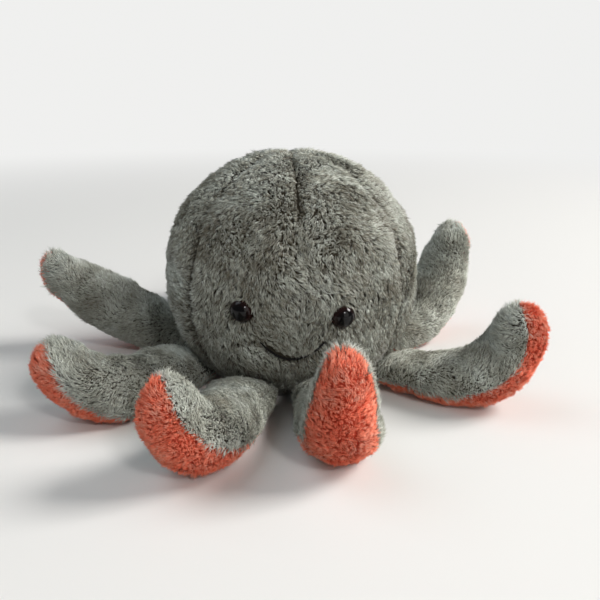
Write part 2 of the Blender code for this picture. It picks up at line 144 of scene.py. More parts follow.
class Finish:
    def __init__(self, name, fixed):
        self.material = bpy.data.materials.new(name)
        self.material.use_nodes = True
        self.nodes, self.links = self.material.node_tree.nodes, self.material.node_tree.links
        self.shader = self.nodes["Principled BSDF"]
        for socket, value in fixed.items():
            self.shader.inputs[socket].default_value = value

    def feed(self, socket, value):
        if isinstance(value, Wire):
            self.links.new(value.socket, socket)
        else:
            socket.default_value = value

    def node(self, kind, settings, sockets, output=0):
        made = self.nodes.new(kind)
        for key, value in settings.items():
            if key == "stops":
                self.setStops(made.color_ramp, value)
            else:
                setattr(made, key, value)
        for key, value in sockets.items():
            self.feed(made.inputs[key], value)
        return Wire(self, made.outputs[output])

    def setStops(self, ramp, stops):
        for i, (place, colour) in enumerate(stops):
            element = ramp.elements[i] if i < 2 else ramp.elements.new(place)
            element.position, element.color = place, (*colour, 1)

    def attribute(self, name):
        return self.node("ShaderNodeAttribute", {"attribute_name": name}, {}, "Fac")

    def place(self):
        return self.node("ShaderNodeTexCoord", {}, {}, "Object")

    def noise(self, size, detail=3, place=None):
        sockets = {"Vector": place or self.place(), "Scale": 1 / size, "Detail": detail}
        return self.node("ShaderNodeTexNoise", {}, sockets)

    def ramp(self, factor, stops):
        return self.node("ShaderNodeValToRGB", {"stops": stops}, {"Fac": factor})

    def mix(self, a, b, factor, blend="MIX"):
        settings = {"data_type": "RGBA", "blend_type": blend}
        return self.node("ShaderNodeMix", settings, {0: factor, 6: a, 7: b}, 2)

    def bump(self, height, distance):
        sockets = {"Height": height, "Distance": distance, "Strength": 1.0}
        self.use("Normal", self.node("ShaderNodeBump", {}, sockets))

    def use(self, socket, value):
        self.feed(self.shader.inputs[socket], value)


greyPile = {
    # root: painted shade deep in the pile, where the tufts hide each other
    "root": (0.12, 0.105, 0.078),
    "shades": ((0.0, (0.18, 0.158, 0.112)), (0.42, (0.45, 0.455, 0.385)), (1.0, (0.85, 0.89, 0.82))),
    "sheen": 0.35,
    "sheenTint": (1, 1, 1, 1),
}
coralPile = {
    # root: painted shade deep in the pile, where the tufts hide each other
    "root": (0.92, 0.14, 0.08),
    "shades": ((0.0, (1.0, 0.2, 0.11)), (0.5, (1.0, 0.32, 0.2)), (1.0, (1.0, 0.58, 0.45))),
    "sheen": 0.8,
    "sheenTint": (1, 0.32, 0.2, 1),
}


def pileFinish(name, tints):
    # each tuft has its own shade, and darkens towards its root: the dark root colour is painted shade deep
    # in the pile
    fixed = {"Sheen Weight": tints["sheen"], "Sheen Tint": tints["sheenTint"], "Sheen Roughness": 0.5}
    finish = Finish(name, {**fixed, "Specular IOR Level": 0.15})
    shade = finish.attribute("tuftShade")
    height = finish.attribute("tuftHeight")
    tuft = finish.ramp(shade, tints["shades"])
    finish.use("Base Color", finish.mix((*tints["root"], 1), tuft, height.between(-0.15, 0.65)))
    finish.use("Roughness", 0.95 - shade * 0.2)
    return finish.material


def backingFinish(name, tints):
    # the knitted backing between the tufts, in the pile's dark root colour: painted shade under the tufts
    finish = Finish(name, {"Specular IOR Level": 0.1})
    patches = finish.noise(4 * mm)
    knit = finish.noise(0.7 * mm, 2)
    darker = tuple(0.6 * value for value in tints["root"])
    finish.use("Base Color", finish.mix((*tints["root"], 1), (*darker, 1), patches))
    finish.use("Roughness", 0.9 + knit * 0.1)
    finish.bump(knit, 0.3 * mm)
    return finish.material


def fillingFinish():
    finish = Finish("polyesterFibre", {"Sheen Weight": 0.3, "Specular IOR Level": 0.2})
    fibres = finish.noise(1.2 * mm, 5)
    stops = ((0.3, (0.7, 0.7, 0.68)), (0.7, (0.9, 0.9, 0.88)))
    finish.use("Base Color", finish.ramp(fibres, stops))
    finish.use("Roughness", 0.8 + fibres * 0.2)
    finish.bump(fibres, 0.6 * mm)
    return finish.material


def eyeFinish():
    # polished black plastic with a brown painted reflection towards its rim
    finish = Finish("eyePlastic", {"Specular IOR Level": 0.25})
    black, paintedRimReflection = (0.002, 0.0015, 0.002, 1), (0.03, 0.009, 0.007, 1)
    rim = finish.attribute("rimShare")
    wear = finish.noise(0.9 * mm, 4)
    finish.use("Base Color", finish.mix(black, paintedRimReflection, rim.between(0.5, 1.05) * 0.65))
    finish.use("Roughness", 0.04 + wear.between(0.45, 0.8) * 0.05)
    return finish.material


def threadFinish():
    finish = Finish("mouthThread", {"Specular IOR Level": 0.2})
    strand = finish.noise(0.35 * mm, 3)
    stops = ((0.3, (0.003, 0.003, 0.003)), (0.75, (0.016, 0.014, 0.014)))
    finish.use("Base Color", finish.ramp(strand, stops))
    finish.use("Roughness", 0.55 + strand * 0.25)
    finish.bump(strand, 0.12 * mm)
    return finish.material


def washerFinish():
    finish = Finish("washerPlastic", {"Specular IOR Level": 0.4})
    cloud = finish.noise(5 * mm, 3)
    stops = ((0.3, (0.74, 0.74, 0.71)), (0.7, (0.82, 0.82, 0.8)))
    finish.use("Base Color", finish.ramp(cloud, stops))
    finish.use("Roughness", 0.4 + cloud * 0.25)
    return finish.material


finishes = {
    "greyPile": pileFinish("greyPile", greyPile),
    "coralPile": pileFinish("coralPile", coralPile),
    "greyBacking": backingFinish("greyBacking", greyPile),
    "coralBacking": backingFinish("coralBacking", coralPile),
    "filling": fillingFinish(),
    "eye": eyeFinish(),
    "thread": threadFinish(),
    "washer": washerFinish(),
}
print("finishes", len(finishes))


# Meshes

poleShare = 0.02                            # what is left open of a round before its cap, in radians


def makePiece(name, points, faces, finish):
    mesh = bpy.data.meshes.new(name)
    faces = faces.tolist() if isinstance(faces, np.ndarray) else faces
    mesh.from_pydata(np.asarray(points).tolist(), [], faces)
    mesh.materials.append(finishes[finish])
    mesh.shade_smooth()
    piece = bpy.data.objects.new(name, mesh)
    bpy.context.scene.collection.objects.link(piece)
    return piece


def writeAttribute(piece, name, values):
    attribute = piece.data.attributes.new(name, "FLOAT", "POINT")
    attribute.data.foreach_set("value", np.asarray(values, np.float32))


def gridFaces(rows, columns, closed=False):
    # quads between the rows of a grid; closed joins the last column to the first
    across = columns if closed else columns - 1
    row, column = np.meshgrid(np.arange(rows - 1), np.arange(across), indexing="ij")
    beside = (column + 1) % columns
    corners = [row * columns + column, row * columns + beside]
    corners += [(row + 1) * columns + beside, (row + 1) * columns + column]
    return np.stack(corners, -1).reshape(-1, 4)


def tubeFaces(rings, around, first=0):
    # the wall of a tube of rings, and a cap on each end of it
    last = first + around * (rings - 1)
    caps = [list(range(first + around - 1, first - 1, -1)), list(range(last, last + around))]
    return (gridFaces(rings, around, closed=True) + first).tolist() + caps


def faceOutward(piece):
    # turns every face of a closed piece to its outside
    form = bmesh.new()
    form.from_mesh(piece.data)
    bmesh.ops.recalc_face_normals(form, faces=form.faces)
    form.to_mesh(piece.data)
    form.free()


def turnPiece(name, profile, around, place, axis, finish):
    # a closed piece turned about an axis, from (radius, height) pairs
    beside = (0, 1, 0) if abs(axis[2]) > 0.9 else (0, 0, 1)
    side = unit(np.cross(axis, beside))
    up = np.cross(side, axis)
    turns = np.arange(around) * 2 * pi / around
    ring = np.cos(turns)[:, None] * side + np.sin(turns)[:, None] * up
    points = np.concatenate([place + axis * height + ring * radius for radius, height in profile])
    piece = makePiece(name, points, tubeFaces(len(profile), around), finish)
    faceOutward(piece)
    return piece


def gridNormals(points, fallback):
    # the normals of a grid of points, on the side that the fallback points to
    across = np.gradient(points, axis=1)
    along = np.gradient(points, axis=0)
    normals = np.cross(across, along)
    flat = np.linalg.norm(normals, axis=-1, keepdims=True) < 1e-13
    normals = unit(np.where(flat, fallback, unit(normals)))
    facing = np.sign((normals * fallback).sum(-1, keepdims=True))
    return normals * np.where(facing == 0, 1, facing)


def sewPanel(name, patch, thickness, finish):
    # a closed shell: the patch outside, and the same patch moved in by the cloth's thickness
    points, normals = patch["points"], patch["normals"]
    rows, columns = points.shape[:2]
    outside, inside = points.reshape(-1, 3), (points - normals * thickness).reshape(-1, 3)
    faces = gridFaces(rows, columns)
    middle = faces[len(faces) // 2]
    face = outside[middle]
    if np.cross(face[1] - face[0], face[2] - face[0]) @ normals.reshape(-1, 3)[middle[0]] < 0:
        faces = faces[:, ::-1]
    index = np.arange(rows * columns).reshape(rows, columns)
    rim = np.concatenate([index[0, :-1], index[:-1, -1], index[-1, :0:-1], index[:0:-1, 0]])
    ahead = np.roll(rim, -1)
    count = rows * columns
    side = np.stack([rim, ahead, ahead + count, rim + count], -1)
    first = faces[(faces == rim[0]).any(1) & (faces == rim[1]).any(1)][0].tolist()
    if first[(first.index(rim[0]) + 1) % 4] == rim[1]:
        side = side[:, ::-1]
    faces = np.concatenate([faces, faces[:, ::-1] + count, side])
    piece = makePiece(name, np.concatenate([outside, inside]), faces, finish)
    return piece


# Pile: closed tufts, each a root, a bent middle with three corners, and a tip

tuft = {
    "middle": 0.52,                          # share of its length at which it is thickest
    "rise": 0.6,                             # share of its lean that it has below its middle
    "leans": (radians(4), radians(86)),
    "mostCurl": radians(110),
    "shades": (0.02, 0.98),
    "clumpLengths": (0.88, 1.08),
    "gathers": (0.35, 1.0),                  # how much of the gather its middle and its tip take
    "gatherSpread": (0.5, 1.2),
    "radiusSpread": (0.65, 1.3),
    "offFloor": 0.1 * mm,
    "mapWidth": 0.004,                       # half its width on the map of shades and heights
}


def scatter(patch, density, random):
    # even random places on a patch, and a reader for anything that the patch holds
    p = patch["points"]
    a, b, c, d = p[:-1, :-1], p[:-1, 1:], p[1:, :-1], p[1:, 1:]
    area = sum(np.linalg.norm(np.cross(b - corner, c - corner), axis=-1) for corner in (a, d))
    total = np.cumsum(area.ravel() / 2)
    count = int(total[-1] * density / squareMm)
    cell = np.searchsorted(total, (np.arange(count) + random.random(count)) / count * total[-1])
    row, column = np.divmod(np.minimum(cell, total.size - 1), p.shape[1] - 1)
    s, t = random.random((2, count, 1))

    def read(field):
        field = patch[field] if patch[field].ndim == 3 else patch[field][..., None]
        near = field[row, column] * (1 - s) + field[row, column + 1] * s
        far = field[row + 1, column] * (1 - s) + field[row + 1, column + 1] * s
        found = near * (1 - t) + far * t
        return found if found.shape[1] > 1 else found[:, 0]

    return read


def clumpOf(roots, tuftsInClump, random):
    # the clump that each tuft belongs to, by the nearest of some of the roots
    centres = random.choice(len(roots), max(1, int(len(roots) / tuftsInClump)), replace=False)
    tree = KDTree(len(centres))
    for i, centre in enumerate(centres):
        tree.insert(roots[centre], i)
    tree.balance()
    return np.array([tree.find(root)[1] for root in roots]), len(centres)


def turnAbout(vectors, axes, angles):
    c, s = np.cos(angles)[:, None], np.sin(angles)[:, None]
    return vectors * c + np.cross(axes, vectors) * s


def growPile(name, patch, pile, habit, finish, seed, clear=None):
    random = np.random.default_rng(seed)
    read = scatter(patch, pile["density"], random)
    roots, normals = read("points"), unit(read("normals"))
    grown = habit(read, roots, normals, random)
    keep = grown["keep"] if "keep" in grown else np.ones(len(roots), bool)
    roots, normals = roots[keep], normals[keep]
    comb, length, lean, shade = (grown[key][keep] for key in ("comb", "length", "lean", "shade"))
    count = len(roots)
    clump, clumps = clumpOf(roots, pile["tuftsInClump"], random)

    def spread(ofClump, ofTuft):
        # what a whole clump differs by, and each of its tufts
        return random.normal(0, pile[ofClump], clumps)[clump] + random.normal(0, pile[ofTuft], count)

    comb = unit(comb - normals * (comb * normals).sum(-1, keepdims=True))
    comb = turnAbout(comb, normals, spread("clumpWander", "wander"))
    lean = np.clip(lean + spread("clumpLean", "leanSpread"), *tuft["leans"])
    length = length * random.uniform(1 - pile["lengthSpread"], 1 + pile["lengthSpread"], count)
    length = length * random.uniform(*tuft["clumpLengths"], clumps)[clump]
    shade = np.clip(shade + spread("clumpShade", "shadeSpread"), *tuft["shades"])

    low, curl = lean * tuft["rise"], np.clip(lean + pile["curl"], 0, tuft["mostCurl"])
    rise = normals * np.cos(low)[:, None] + comb * np.sin(low)[:, None]
    fall = normals * np.cos(curl)[:, None] + comb * np.sin(curl)[:, None]
    middles = roots + rise * (length * tuft["middle"])[:, None]
    tips = middles + fall * (length * (1 - tuft["middle"]))[:, None]
    for points, share in zip((middles, tips), tuft["gathers"]):
        sums = np.stack([np.bincount(clump, points[:, k], clumps) for k in range(3)], -1)
        mean = (sums / np.maximum(np.bincount(clump, minlength=clumps), 1)[:, None])[clump]
        drawn = pile["gather"] * share * random.uniform(*tuft["gatherSpread"], (count, 1))
        points += (mean - points) * drawn

    radius = pile["radius"] * random.uniform(*tuft["radiusSpread"], count)
    if clear:
        middles, tips = clear(middles), clear(tips)
    least = tuft["offFloor"]
    for points, lowest in ((roots, 1.5 * least), (middles, least + radius), (tips, least)):
        points[:, 2] = np.maximum(points[:, 2], lowest)

    axis = unit(tips - roots)
    across = unit(np.cross(axis, unit(random.normal(size=(count, 3)))))
    other = np.cross(axis, across)
    ring = [across * cos(a) + other * sin(a) for a in (0, 2 * pi / 3, 4 * pi / 3)]
    points = np.stack([roots, *(middles + r * radius[:, None] for r in ring), tips], 1)
    corners = np.array([(2, 1, 0), (3, 2, 0), (1, 3, 0), (1, 2, 4), (2, 3, 4), (3, 1, 4)])
    faces = (corners[None] + 5 * np.arange(count)[:, None, None]).reshape(-1, 3)
    piece = makePiece(name, points.reshape(-1, 3), faces, finish)
    middle, width = tuft["middle"], tuft["mapWidth"]
    writeAttribute(piece, "tuftShade", np.repeat(shade, 5))
    writeAttribute(piece, "tuftHeight", np.tile([0, middle, middle, middle, 1], count))

    # a map of the tufts' shades and heights: shade across, height up
    up = np.array([(middle, middle, 0)] * 3 + [(middle, middle, 1)] * 3)
    off = np.array([(width, -width, 0)] * 3 + [(-width, width, 0)] * 3)
    uv = np.stack([shade[:, None, None] + off, np.broadcast_to(up, (count, 6, 3))], -1)
    piece.data.uv_layers.new(name="OFBake").data.foreach_set("uv", uv.astype(np.float32).ravel())
    print("pile", name, count, "tufts", len(faces), "faces")
    return piece


# Head

head = {
    "radius": 64 * mm,
    "centreHeight": 57 * mm,
    "upper": 60.5 * mm,
    "baseCut": 4 * mm,
    "cheekPower": 2.5,
    "baseSeam": 5 * mm,
    "seamDip": 1.3 * mm,
    "seamDipPower": 4,
    "crownDip": 2.2 * mm,
    "crownDipPower": 4,
    "puckerPower": 60,
    "turn": radians(-4.5),
    "faceTurn": radians(-1),
    "gores": {
        "front_left": radians(52.5),
        "left": radians(63.75),
        "rear_left": radians(63.75),
        "rear_right": radians(63.75),
        "right": radians(63.75),
        "front_right": radians(52.5),
    },
    "cloth": 1.2 * mm,
    "across": 36,
    "along": 90,
    "crownHole": 0.012,      # in radians, where the gores' points end
    "rowsPower": 0.9,        # rows lie a little closer together at the crown
}
headPile = {
    "density": 3.6,
    "length": 4.7 * mm,
    "lean": radians(48),
    "curl": radians(22),
    "radius": 0.175 * mm,
    "tuftsInClump": 7,
    "gather": 0.36,
    "wander": radians(18),
    "clumpWander": radians(22),
    "clumpLean": radians(8),
    "leanSpread": radians(9),
    "lengthSpread": 0.2,
    "clumpShade": 0.13,
    "shadeSpread": 0.17,
}
goreAngles = np.array(list(head["gores"].values()))
goreStarts = np.concatenate([[0], np.cumsum(goreAngles)])
headCentre = np.array([0, 0, head["centreHeight"]])


def headPoint(azimuth, turn):
    level = np.cos(turn)
    power = 2 / head["cheekPower"]
    below = level < 0
    lower = head["centreHeight"] + head["baseCut"]
    radius = head["radius"] * np.where(below, np.sin(turn) ** power, np.sin(turn))
    height = np.where(below, -lower * np.abs(level) ** power, head["upper"] * level)
    turned = (azimuth - head["turn"]) % (2 * pi)
    gore = np.clip(np.searchsorted(goreStarts, turned) - 1, 0, len(goreAngles) - 1)
    fromSeam = np.abs((turned - goreStarts[gore]) / goreAngles[gore] - 0.5) * 2
    crown, base = np.maximum(level, 0), np.maximum(-level, 0)
    dip = head["seamDip"] * (1 - base) + head["crownDip"] * crown ** head["crownDipPower"]
    drawn = 1 - dip * fromSeam ** head["seamDipPower"] / np.hypot(radius, height)
    found = outward(azimuth) * (radius * drawn)[..., None]
    found[..., 2] = head["centreHeight"] + height * drawn - head["crownDip"] * crown ** head["puckerPower"]
    return found


def turnAt(height):
    lower = head["centreHeight"] + head["baseCut"]
    return pi - np.arccos(((head["centreHeight"] - height) / lower) ** (head["cheekPower"] / 2))


def gorePatch(index):
    first, last = head["crownHole"], turnAt(head["baseSeam"])
    turns = np.linspace(0.0, 1.0, head["along"]) ** head["rowsPower"] * (last - first) + first
    azimuths = head["turn"] + goreStarts[index] + np.linspace(0, 1, head["across"]) * goreAngles[index]
    turn, azimuth = np.meshgrid(turns, azimuths, indexing="ij")
    points = headPoint(azimuth, turn)
    width = np.hypot(points[..., 0], points[..., 1]) * goreAngles[index]
    u = (azimuth - azimuths[0]) / goreAngles[index]
    return {
        "points": points,
        "normals": gridNormals(points, unit(points - headCentre)),
        "turn": turn,
        "fromFirst": u * width,
        "fromLast": (1 - u) * width,
    }


def headTree():
    points = np.concatenate([gorePatch(i)["points"].reshape(-1, 3) for i in range(len(head["gores"]))])
    each = head["across"] * head["along"]
    faces = [gridFaces(head["along"], head["across"]) + i * each for i in range(len(head["gores"]))]
    return BVHTree.FromPolygons(points.tolist(), np.concatenate(faces).tolist())


surface = headTree()


def onFace(offset, height):
    # the backing's point straight behind a place on the face, seen from the front
    turn = np.array(head["faceTurn"])
    start = outward(turn) * 3 * head["radius"] - sideways(turn) * offset
    place, normal, _, _ = surface.ray_cast(Vector((*start[:2], height)), Vector(-outward(turn)))
    normal = np.array(normal)
    return np.array(place), normal if normal[1] < 0 else -normal


# Eyes, set on the places that the frame's own eyes have

eye = {
    "radius": 5.75 * mm,
    "height": 5.4 * mm,
    "edge": 0.5 * mm,                # straight below the dome
    "bevel": (0.4 * mm, 0.3 * mm),   # in and down
    "shank": 2.25 * mm,
    "shankLength": 9 * mm,
    "shankTip": 0.02 * mm,
    "rings": 16,
    "around": 48,
    "endDepth": 0.6 * mm,            # the points this near the shank's end give its middle
}


def eyePlace(side):
    # where the dome's widest ring lies, and the way that it looks
    mesh = frame["nodes"]["eye_" + side].data
    points = np.array([vert.co for vert in mesh.vertices])
    away = np.linalg.norm(points - headCentre, axis=1)
    top = points[away.argmax()]
    end = points[away < away.min() + eye["endDepth"]].mean(0)
    axis = unit(top - end)
    return top - axis * eye["height"], axis


eyePlaces = {side: eyePlace(side) for side in ("left", "right")}


def makeEye(side):
    place, axis = eyePlaces[side]
    turns = np.linspace(poleShare, pi / 2, eye["rings"])
    dome = [(eye["radius"] * sin(t), eye["height"] * cos(t)) for t in turns]
    inward, down = eye["bevel"]
    under, end = -eye["edge"] - down, -eye["shankLength"]
    edge = [(eye["radius"], -eye["edge"]), (eye["radius"] - inward, under), (eye["shank"], under)]
    shank = [(eye["shank"], end + inward), (eye["shankTip"], end)]
    profile = dome + edge + shank
    piece = turnPiece("eye_" + side + "_dome", profile, eye["around"], place, axis, "eye")
    rim = [radius / eye["radius"] for radius, _ in profile]
    writeAttribute(piece, "rimShare", np.repeat(rim, eye["around"]))
    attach(piece, "head")
    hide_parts("eye_" + side)


for side in ("left", "right"):
    makeEye(side)
    washerSlot = frame["nodes"]["eye_washer_" + side].material_slots[0]
    washerSlot.link = "OBJECT"
    washerSlot.material = finishes["washer"]
print("eyes")


# Smile: a row of short slanting stitches

mouth = {
    "halfWidth": 14.5 * mm,
    "level": 30 * mm,
    "rise": 8.8 * mm,
    "stitches": 34,
    "stitchRadius": 0.52 * mm,
    "overlap": 1.15,        # half of a stitch, in spaces from one stitch to the next
    "slant": radians(15),
    "proud": 2.1 * mm,
    "dip": 0.9 * mm,        # how much lower a stitch's ends lie
    "thinEnds": 0.55,       # the thread's share of its width at the smile's ends
    "taper": 0.75,
    "around": 8,
    "rings": 7,
    "points": 80,
}
crease = {                  # the fold in the cheek beyond the smile's left end
    "start": 15 * mm,
    "end": 26 * mm,
    "level": 39.3 * mm,
    "bend": 18.0,
    "points": 24,
}


def mouthPoint(share):
    return onFace(share * mouth["halfWidth"], mouth["level"] + mouth["rise"] * share**2)


def creasePoint(out):
    return onFace(-out, crease["level"] - crease["bend"] * (out - crease["start"]) ** 2)


mouthLine = np.array([mouthPoint(share)[0] for share in np.linspace(-1, 1, mouth["points"])])
creaseOut = np.linspace(crease["start"], crease["end"], crease["points"])
creaseLine = np.array([creasePoint(out)[0] for out in creaseOut])


def makeMouth():
    around, rings = mouth["around"], mouth["rings"]
    points, faces = [], []
    for i in range(mouth["stitches"]):
        share = 2 * (i + 0.5) / mouth["stitches"] - 1
        place, normal = mouthPoint(share)
        along = unit(mouthPoint(min(share + 0.02, 1))[0] - mouthPoint(max(share - 0.02, -1))[0])
        across = np.cross(normal, along)
        direction = along * cos(mouth["slant"]) + across * sin(mouth["slant"])
        half = mouth["overlap"] * 2 * mouth["halfWidth"] / mouth["stitches"]
        thin = mouth["thinEnds"] + (1 - mouth["thinEnds"]) * min(1.0, (1 - abs(share)) * 5)
        for j in range(rings):
            s = 2 * j / (rings - 1) - 1
            lift = mouth["proud"] - mouth["dip"] * s**2
            centre = place + direction * half * s + normal * lift
            width = mouth["stitchRadius"] * thin * (1 - mouth["taper"] * abs(s) ** 3)
            side = unit(np.cross(direction, normal))
            ring = [side * cos(a) + normal * sin(a) for a in np.arange(around) * 2 * pi / around]
            points += [centre + r * width for r in ring]
        faces += tubeFaces(rings, around, i * around * rings)
    piece = makePiece("mouth_stitches", points, faces, "thread")
    faceOutward(piece)
    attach(piece, "head")
    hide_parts("mouth")


makeMouth()
print("mouth", mouth["stitches"], "stitches")


# Head's cloth and pile

def nearest(points, line):
    # distance to a line of points, the direction away from it, and the share of it at which it is nearest
    best, share = np.full(len(points), 1e9), np.zeros(len(points))
    away = np.zeros((len(points), 3))
    for i, place in enumerate(line):
        apart = points - place
        distance = np.linalg.norm(apart, axis=1)
        closer = distance < best
        best = np.where(closer, distance, best)
        share = np.where(closer, i / (len(line) - 1), share)
        away = np.where(closer[:, None], apart, away)
    return best, unit(away), share


def clearEyes(points):
    # moves points out of the domes
    for place, axis in eyePlaces.values():
        apart = points - place
        level = apart @ axis
        flat = apart - level[:, None] * axis
        depth = np.sqrt((np.linalg.norm(flat, axis=1) / eye["radius"]) ** 2 + (level / eye["height"]) ** 2)
        inside = (depth < 1.06) & (level > -1 * mm)
        points = np.where(inside[:, None], place + apart * (1.06 / np.maximum(depth, 0.3))[:, None], points)
    return points


def headHabit(index, place):
    def habit(read, roots, normals, random):
        turn, first, last = read("turn"), read("fromFirst"), read("fromLast")
        down = unit(np.array([0, 0, -1]) + normals * normals[:, 2:])
        side = np.cross(normals, down)
        swirl = layered(roots, ((0.95, 95 * mm, 5), (0.55, 34 * mm, 6)))
        comb = turnAbout(down, normals, swirl)
        keep = np.ones(len(roots), bool)
        length = headPile["length"] * (1 + 0.1 * waves(roots, 12 * mm, 7))
        lean = headPile["lean"] + radians(9) * waves(roots, 22 * mm, 8)
        shade = 0.4 + layered(roots, ((0.1, 26 * mm, 9), (0.07, 9 * mm, 10)))
        # painted light: the crown's pile is drawn paler, as if lit from above, and the chin's darker,
        # painted shade under the head
        shade = shade + 0.14 * ease(radians(62), radians(20), turn)
        shade = shade - 0.12 * ease(radians(95), radians(140), turn)

        # the seams draw the pile down and part it; the pile along them is drawn darker, painted shade in
        # the seams' valleys, strongest at the seam between the front-left and left gores
        upper = 1 - ease(radians(44), radians(60), turn)
        flank = ease(radians(50), radians(75), turn) * (1 - ease(radians(120), radians(140), turn))
        for distance, seam, sign in ((first, index, 1), (last, (index + 1) % len(goreAngles), -1)):
            strength = upper if seam == 0 else 0.35 * upper + (0.95 if seam == 1 else 0.7) * flank
            near = bell(distance, 3 * mm) * strength
            towards = np.cross(down, normals) * sign
            comb = comb * (1 - 0.6 * near)[:, None] + towards * (0.9 * near)[:, None]
            length = length * (1 - 0.5 * near)
            # painted shade in the seam's valley
            shade = shade - 0.36 * near
            keep &= (distance > 0.75 * mm * strength) | (random.random(len(roots)) > strength)

        if place.startswith("front"):
            for seat, axis in eyePlaces.values():
                apart = roots - seat
                apart = apart - (apart @ axis)[:, None] * axis
                distance = np.linalg.norm(apart, axis=1) - eye["radius"]
                near = 1 - ease(0.0, 4 * mm, distance)
                comb = comb * (1 - 0.3 * near)[:, None] + unit(apart) * (0.25 * near)[:, None]
                length = length * (1 - 0.2 * near)
                lean = lean - radians(8) * near
                keep &= distance > -0.5 * mm
            distance, away, share = nearest(roots, mouthLine)
            bare = ease(0.0, 0.12, share) * (1 - 0.6 * ease(0.55, 0.85, share))
            near = (1 - ease(0.6 * mm, 4 * mm, distance)) * bare
            comb = comb * (1 - 0.9 * near)[:, None] + away * (1.3 * near)[:, None]
            length = length * (1 - 0.45 * near)
            keep &= distance > 0.8 * mm * bare
            distance, away, _ = nearest(roots, creaseLine)
            near = bell(distance, 2.0 * mm)
            length = length * (1 - 0.45 * near)
            # painted shade in the cheek's fold: the pile there is drawn darker
            shade = shade - 0.2 * near
        return {"comb": comb, "length": length, "lean": lean, "shade": shade, "keep": keep}

    return habit


for i, place in enumerate(head["gores"]):
    patch = gorePatch(i)
    backing = sewPanel(f"head_gore_{place}_backing", patch, head["cloth"], "greyBacking")
    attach(backing, "head")
    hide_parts(f"head_panel_{place}")
    pile = growPile(
        f"head_gore_{place}_pile",
        patch,
        headPile,
        headHabit(i, place),
        "greyPile",
        100 + i,
        clearEyes,
    )
    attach(pile, "head")


# Base: a round of the same cloth, its pile pressed flat under the toy

base = {
    "flatRings": 18,
    "edgeRings": 12,
    "around": 96,
    "sole": 0.7 * mm,
    "seamGap": 0.2 * mm,
    "thickness": 0.5 * mm,
    "innerShare": 0.995,     # how far out the upper side reaches
}


def baseProfile():
    # the radius and the height of each ring, flat in the middle and then up to the base seam
    rise = np.linspace(base["sole"], head["baseSeam"] - base["seamGap"], base["edgeRings"])
    edge = -headPoint(np.zeros(len(rise)), turnAt(rise))[:, 1]
    flat = np.linspace(0.002, 1, base["flatRings"], endpoint=False) * edge[0]
    return np.concatenate([flat, edge]), np.concatenate([np.full(len(flat), base["sole"]), rise])


def basePatch():
    radius, height = baseProfile()
    azimuth = np.linspace(0, 2 * pi, base["around"] + 1)[None]
    points = outward(azimuth) * radius[:, None, None]
    points[..., 2] = height[:, None]
    normals = outward(azimuth) * np.gradient(height)[:, None, None]
    normals[..., 2] = -np.gradient(radius)[:, None]
    return {"points": points, "normals": unit(normals)}


def makeBase():
    radius, height = baseProfile()
    under = list(zip(radius, height))
    over = list(zip(radius * base["innerShare"], height + base["thickness"]))
    profile = under + over[::-1]
    up = np.array([0, 0, 1])
    piece = turnPiece("head_base_backing", profile, base["around"], 0 * up, up, "greyBacking")
    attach(piece, "head")
    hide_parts("head_base")


basePile = {
    **headPile,
    "density": 2.6,
    "length": 4.2 * mm,
    "lean": radians(74),
    "clumpLean": radians(3),
    "leanSpread": radians(3),
}


def baseHabit(read, roots, normals, random):
    comb = unit(np.array([0.3, 1.0, 0]) + 0.5 * random.normal(size=roots.shape))
    count = len(roots)
    return {
        "comb": comb,
        "length": np.full(count, basePile["length"]),
        "lean": np.full(count, basePile["lean"]),
        "shade": 0.42 + 0.08 * waves(roots, 12 * mm, 21),
    }


makeBase()
pile = growPile("head_base_pile", basePatch(), basePile, baseHabit, "greyPile", 131)
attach(pile, "head")
print("head", len(head["gores"]), "gores")


# Tentacles

limb = {
    "length": 110 * mm,
    "width": 30 * mm,
    "height": 26 * mm,
    "rootWidth": 24 * mm,
    "rootEdge": 4.4 * mm,
    "tip": 12 * mm,
    "bellyCut": 0.5 * mm,
    "belly": (0.2, 0.9),
    "settled": 0.3,
    "steps": 60,
    "widthSwell": ((0.0, 0.0), (0.2, 0.65), (0.5, 1.0), (1.0, 1.0)),
    "widthTaper": ((0.0, 1.0), (0.5, 1.0), (0.7, 0.9), (1.0, 0.4)),
    "heightSwell": ((0.0, 0.0), (0.14, 0.45), (0.3, 0.7), (0.65, 1.0), (1.0, 0.72)),
    "seam": ((0.0, 0.67), (0.5, 0.66), (0.8, 0.6), (1.0, 0.5)),
    "cloth": 1.2 * mm,
    "bending": 20 * mm,      # the stretch at its root; its ends are worked out below and not used
    "rows": 64,
    "topColumns": 30,
    "underColumns": 18,
}
still = ((0.0, 0.0), (1.0, 0.0))
